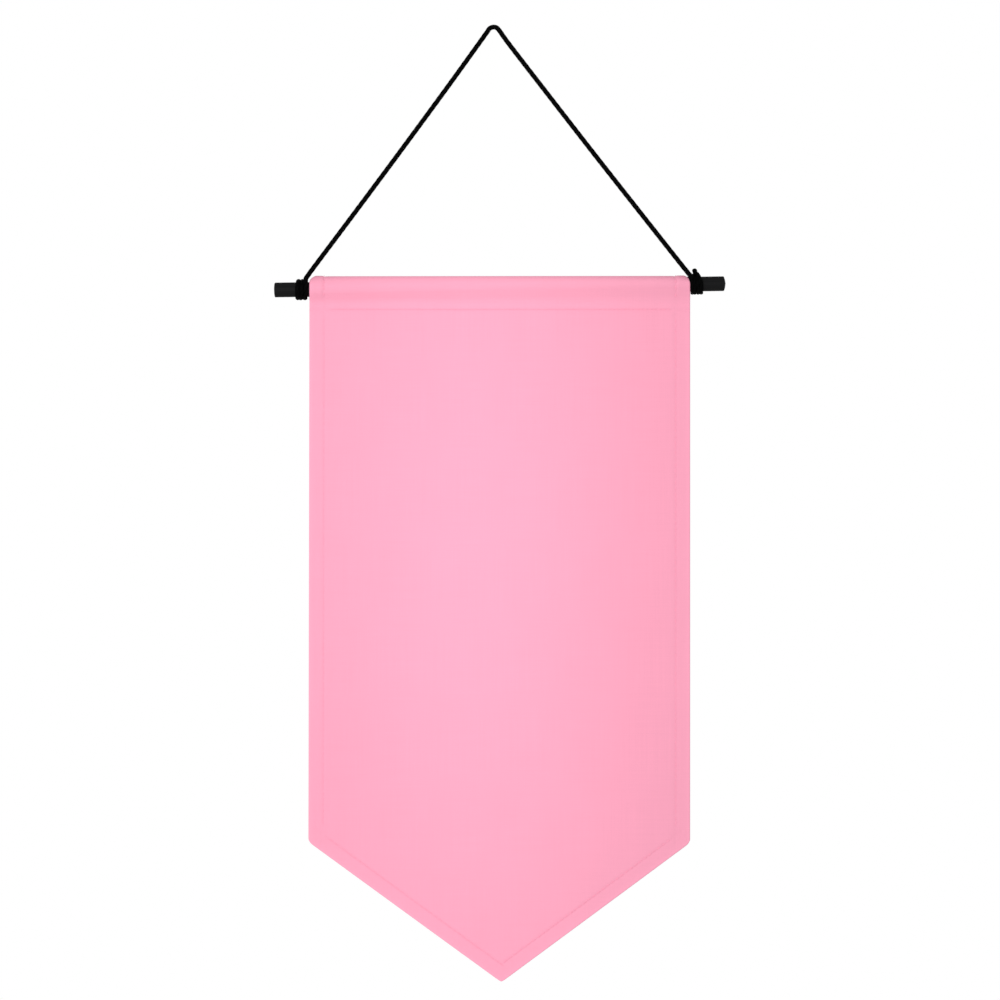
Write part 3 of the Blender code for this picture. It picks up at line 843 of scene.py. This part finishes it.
def make_cloth(finish):
    rows_of = {"front": [], "back": [], "outer": [], "inner": []}
    tunnel_foot = []
    for column in range(column_count()):
        panel_x = column_x(column, SHOULDER_LEFT_Z, 0.0, 0.0)
        heights = panel_row_heights(panel_x)
        rows = range(len(heights))
        rows_of["front"].append([panel_point(column, row, heights, True) for row in rows])
        rows_of["back"].append([panel_point(column, row, heights, False) for row in rows])
        casing_x = column_x(column, FOLD_LEFT_Z, 0.0, 0.0)
        outer = casing_section(casing_x)
        inner = tunnel_section(casing_x)
        rows_of["outer"].append(casing_points(column, True, outer, inner))
        rows_of["inner"].append(casing_points(column, False, outer, inner))
        foot_place = (casing_x, 0.0, TUNNEL_FOOT_Z)
        tunnel_foot.append([(foot_place, (casing_x, TUNNEL_FOOT_Z, 0.0), 0.0, 0.0)])

    points = []

    def number_rows(columns):
        # Rows of point numbers, from the columns of points
        numbered = []
        for row in range(len(columns[0])):
            numbered.append(list(range(len(points), len(points) + len(columns))))
            points.extend(column[row] for column in columns)
        return numbered

    front = number_rows(rows_of["front"])
    outer = number_rows(rows_of["outer"])
    back = number_rows(rows_of["back"])
    inner = number_rows(rows_of["inner"])
    foot = number_rows(tunnel_foot)[0]

    faces = []

    def join(lower, upper):
        for column in range(len(lower) - 1):
            faces.append((lower[column], lower[column + 1], upper[column + 1], upper[column]))

    outside = front + outer + list(reversed(back))
    for lower, upper in zip(outside, outside[1:]):
        join(lower, upper)
    join(back[0], front[0])
    tunnel = [foot] + inner + [foot]
    for lower, upper in zip(tunnel, tunnel[1:]):
        join(upper, lower)
    wall = [front[-1]] + outer + [back[-1]]
    for end in (0, -1):
        for row in range(len(front) - 1):
            faces.append((front[row][end], front[row + 1][end], back[row + 1][end], back[row][end]))
        for index in range(len(wall) - 1):
            corners = (wall[index][end], wall[index + 1][end])
            faces.append((*corners, tunnel[index + 1][end], tunnel[index][end]))
        faces.append((front[-1][end], foot[end], back[-1][end]))
    cloth = mesh_object("pink_cloth_sheet", [point[0] for point in points], faces, finish)
    store_vectors(cloth.data, "cloth_place", [point[1] for point in points])
    # The dowel showing through the casing, with painted shade under its bulge
    store_numbers(cloth.data, "rod_behind", [point[2] for point in points])
    # Painted shade in the stitch grooves
    store_numbers(cloth.data, "stitch_groove", [point[3] for point in points])
    # Painted light: paler edges and a brighter middle
    store_numbers(cloth.data, "paleness", [paleness(point[0][0], point[0][2]) for point in points])
    return cloth


# Stitches

def stitch_tree(thread):
    # One stitch at each point of the seam lines, laid along the line on the cloth's surface
    tree = bpy.data.node_groups.new("stitches_along_seams", "GeometryNodeTree")
    face = tree.interface
    face.new_socket("Seam Lines", in_out="INPUT", socket_type="NodeSocketGeometry")
    width = face.new_socket("Thread Width", in_out="INPUT", socket_type="NodeSocketFloat")
    share = face.new_socket("Stitch Share", in_out="INPUT", socket_type="NodeSocketFloat")
    seed = face.new_socket("Seed", in_out="INPUT", socket_type="NodeSocketInt")
    face.new_socket("Stitches", in_out="OUTPUT", socket_type="NodeSocketGeometry")
    names = {"width": width.identifier, "share": share.identifier, "seed": seed.identifier}
    start = tree.nodes.new("NodeGroupInput")
    end = tree.nodes.new("NodeGroupOutput")
    lines = tree.nodes.new("GeometryNodeMeshToCurve")
    tangent = tree.nodes.new("GeometryNodeInputTangent")
    stored = "GeometryNodeInputNamedAttribute"
    facing = add_node(tree, stored, {"data_type": "FLOAT_VECTOR"}, Name="seam_facing")
    length = add_node(tree, stored, {"data_type": "FLOAT"}, Name="stitch_length")
    bead = add_node(
        tree, "GeometryNodeMeshUVSphere",
        Segments=STITCH_SEGMENTS, Rings=STITCH_RINGS, Radius=0.5,
    )
    smooth = tree.nodes.new("GeometryNodeSetShadeSmooth")
    uneven = add_node(tree, "FunctionNodeRandomValue", {"data_type": "FLOAT_VECTOR"})
    uneven.inputs[0].default_value = tuple(-value for value in STITCH_UNEVENNESS)
    uneven.inputs[1].default_value = STITCH_UNEVENNESS
    along = tree.nodes.new("FunctionNodeAlignRotationToVector")
    along.axis = "X"
    out = tree.nodes.new("FunctionNodeAlignRotationToVector")
    out.axis = "Z"
    out.pivot_axis = "X"
    turn = add_node(tree, "FunctionNodeRotateRotation", {"rotation_space": "LOCAL"})
    to_turn = tree.nodes.new("FunctionNodeEulerToRotation")
    size = tree.nodes.new("ShaderNodeCombineXYZ")
    place = tree.nodes.new("GeometryNodeInstanceOnPoints")
    real = tree.nodes.new("GeometryNodeRealizeInstances")
    dress = tree.nodes.new("GeometryNodeSetMaterial")
    dress.inputs["Material"].default_value = thread
    link = tree.links.new
    link(start.outputs["Seam Lines"], lines.inputs["Mesh"])
    link(tangent.outputs[0], along.inputs["Vector"])
    link(along.outputs[0], out.inputs["Rotation"])
    link(facing.outputs["Attribute"], out.inputs["Vector"])
    link(start.outputs["Seed"], uneven.inputs["Seed"])
    link(uneven.outputs[0], to_turn.inputs[0])
    link(out.outputs[0], turn.inputs[0])
    link(to_turn.outputs[0], turn.inputs[1])
    stitch_length = math_node(
        tree, "MULTIPLY", length.outputs["Attribute"], start.outputs["Stitch Share"]
    )
    link(stitch_length, size.inputs[0])
    link(start.outputs["Thread Width"], size.inputs[1])
    link(start.outputs["Thread Width"], size.inputs[2])
    link(bead.outputs["Mesh"], smooth.inputs[0])
    link(lines.outputs[0], place.inputs["Points"])
    link(smooth.outputs[0], place.inputs["Instance"])
    link(turn.outputs[0], place.inputs["Rotation"])
    link(size.outputs[0], place.inputs["Scale"])
    link(place.outputs[0], real.inputs[0])
    link(real.outputs[0], dress.inputs[0])
    link(dress.outputs[0], end.inputs[0])
    return tree, names


def stitch_columns():
    # Every second column of the cloth between the two side seams
    count = len(EDGE_INSETS)
    return range(count, column_count() - count, 2)


def seam_rows(is_front):
    # Seam lines as lists of (place, facing, stitch length)
    surface = front_y if is_front else back_y
    facing = (0.0, -1.0 if is_front else 1.0, 0.0)
    lift = STITCH_LIFT * THREAD_WIDTH * facing[1]
    seams = []
    band = len(EDGE_INSETS)
    for is_left in (True, False):
        edge = LEFT_FOOT_X if is_left else RIGHT_X
        seam_x = edge + (STITCH_INSET if is_left else -STITCH_INSET)
        heights = panel_row_heights(seam_x)
        length = 2.0 * (heights[band + 1] - heights[band])
        side = []
        for row in range(band + 1, len(heights) - ROWS_ABOVE_FIELD, 2):
            z = heights[row]
            x = left_edge_x(z) + STITCH_INSET if is_left else RIGHT_X - STITCH_INSET
            side.append(((x, surface(x, z, 1, row) + lift, z), facing, length))
        seams.append(side)
        seams.append(casing_side_seam(is_left, is_front, length))
    shoulders = ((LEFT_FOOT_X, SHOULDER_LEFT_Z), (RIGHT_X, SHOULDER_RIGHT_Z))
    for shoulder_x, shoulder_z in shoulders:
        slope = (POINT_Z - shoulder_z) / (POINT_X - shoulder_x)
        stretch = math.hypot(1.0, slope)
        slant = []
        for column in stitch_columns():
            x = column_x(column, SHOULDER_LEFT_Z, 0.0, 0.0)
            if (x - POINT_X) * (shoulder_x - POINT_X) < 0.0:
                continue
            edge_z = mix(shoulder_z, POINT_Z, (x - shoulder_x) / (POINT_X - shoulder_x))
            z = edge_z + STITCH_INSET * stretch
            step = abs(column_x(column + 2, SHOULDER_LEFT_Z, 0.0, 0.0) - x)
            slant.append(((x, surface(x, z, 1, 1) + lift, z), facing, step * stretch))
        seams.append(slant)
    across = []
    for column in stitch_columns():
        x = column_x(column, SEAM_Z, 0.0, 0.0)
        step = column_x(column + 2, SEAM_Z, 0.0, 0.0) - x
        across.append(((x, surface(x, SEAM_Z, 1, 1) + lift, SEAM_Z), facing, step))
    seams.append(across)
    return seams


def casing_side_seam(is_left, is_front, length):
    # The side seam goes on round the casing, on its front or its back half
    x = LEFT_TOP_X + STITCH_INSET if is_left else RIGHT_X - STITCH_INSET
    section = [Vector(place) for place in casing_section(x)]
    middle = len(section) // 2
    half = section[:middle + 1] if is_front else list(reversed(section[middle:]))
    seam = []
    travelled = 0.0
    for before, after in zip(half, half[1:]):
        travelled += (after - before).length
        if travelled >= length:
            step = (after - before).normalized()
            outward = Vector((-step.y, step.x)) if is_front else Vector((step.y, -step.x))
            place = after + outward * STITCH_LIFT * THREAD_WIDTH
            seam.append(((x, place.x, place.y), (0.0, outward.x, outward.y), length))
            travelled = 0.0
    return seam


def make_stitches(name, seams, tree, names):
    places = []
    facings = []
    lengths = []
    edges = []
    for seam in seams:
        for index, (place, facing, length) in enumerate(seam):
            if index:
                edges.append((len(places) - 1, len(places)))
            places.append(place)
            facings.append(facing)
            lengths.append(length)
    mesh = bpy.data.meshes.new(name + "_lines")
    mesh.from_pydata(places, edges, [])
    store_vectors(mesh, "seam_facing", facings)
    store_numbers(mesh, "stitch_length", lengths)
    lines = bpy.data.objects.new(name + "_lines", mesh)
    bpy.context.scene.collection.objects.link(lines)
    modifier = lines.modifiers.new("stitches", "NODES")
    modifier.node_group = tree
    modifier[names["width"]] = THREAD_WIDTH
    modifier[names["share"]] = STITCH_SHARE
    modifier[names["seed"]] = STITCH_SEED
    depsgraph = bpy.context.evaluated_depsgraph_get()
    sewn = bpy.data.meshes.new_from_object(lines.evaluated_get(depsgraph), depsgraph=depsgraph)
    bpy.data.objects.remove(lines, do_unlink=True)
    sewn.name = name
    stitches = bpy.data.objects.new(name, sewn)
    bpy.context.scene.collection.objects.link(stitches)
    return stitches


# Studio

def make_world():
    # White behind the object, softer as light on it
    world = bpy.data.worlds.new("white_studio")
    world.use_nodes = True
    tree = world.node_tree
    backdrop = tree.nodes["Background"]
    backdrop.inputs["Color"].default_value = (1.0, 1.0, 1.0, 1.0)
    backdrop.inputs["Strength"].default_value = 1.0
    ambient = add_node(tree, "ShaderNodeBackground", Strength=AMBIENT_STRENGTH)
    ambient.inputs["Color"].default_value = (1.0, 1.0, 1.0, 1.0)
    rays = tree.nodes.new("ShaderNodeLightPath")
    choice = tree.nodes.new("ShaderNodeMixShader")
    tree.links.new(rays.outputs["Is Camera Ray"], choice.inputs["Fac"])
    tree.links.new(ambient.outputs[0], choice.inputs[1])
    tree.links.new(backdrop.outputs[0], choice.inputs[2])
    tree.links.new(choice.outputs[0], tree.nodes["World Output"].inputs["Surface"])
    bpy.context.scene.world = world


def make_key_light():
    data = bpy.data.lights.new("soft_key", "AREA")
    data.shape = "DISK"
    data.size = KEY_SIZE
    data.energy = KEY_POWER
    light = bpy.data.objects.new("soft_key", data)
    light.location = KEY_PLACE
    towards = Vector((0.0, 0.0, PICTURE_CENTRE_Z)) - Vector(KEY_PLACE)
    light.rotation_euler = towards.to_track_quat("-Z", "Y").to_euler()
    bpy.context.scene.collection.objects.link(light)


def make_floor():
    material, tree, shader = new_finish("pale_studio_floor")
    shader.inputs["Base Color"].default_value = (*PALE_FLOOR, 1.0)
    shader.inputs["Roughness"].default_value = 0.9
    mesh = bpy.data.meshes.new("studio_floor")
    corners = [
        (-FLOOR_HALF_WIDTH, -FLOOR_HALF_WIDTH, FLOOR_Z),
        (FLOOR_HALF_WIDTH, -FLOOR_HALF_WIDTH, FLOOR_Z),
        (FLOOR_HALF_WIDTH, FLOOR_BACK_Y, FLOOR_Z),
        (-FLOOR_HALF_WIDTH, FLOOR_BACK_Y, FLOOR_Z),
    ]
    mesh.from_pydata(corners, [], [(0, 1, 2, 3)])
    mesh.materials.append(material)
    floor = bpy.data.objects.new("studio_floor", mesh)
    bpy.context.scene.collection.objects.link(floor)


def dress_dowel():
    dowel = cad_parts["dowel"]
    finish = painted_dowel_finish()
    for slot in dowel.material_slots:
        slot.material = finish
    if not dowel.material_slots:
        dowel.data.materials.append(finish)


make_camera()
bpy.context.scene.view_settings.view_transform = "Standard"

cord, cord_path = make_cord(twisted_cord_finish())
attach(cord, "root")
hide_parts("hanging_cord", "cord_wrap_left", "cord_wrap_right", "cord_free_end")

cloth = make_cloth(woven_cloth_finish())
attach(cloth, "root")
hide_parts("pennant_cloth")

thread = sewing_thread_finish()
sewing, sewing_inputs = stitch_tree(thread)
front_stitches = make_stitches("front_stitches", seam_rows(True), sewing, sewing_inputs)
back_stitches = make_stitches("back_stitches", seam_rows(False), sewing, sewing_inputs)
for stitches in (front_stitches, back_stitches):
    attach(stitches, "root")

dress_dowel()
make_world()
make_key_light()
make_floor()
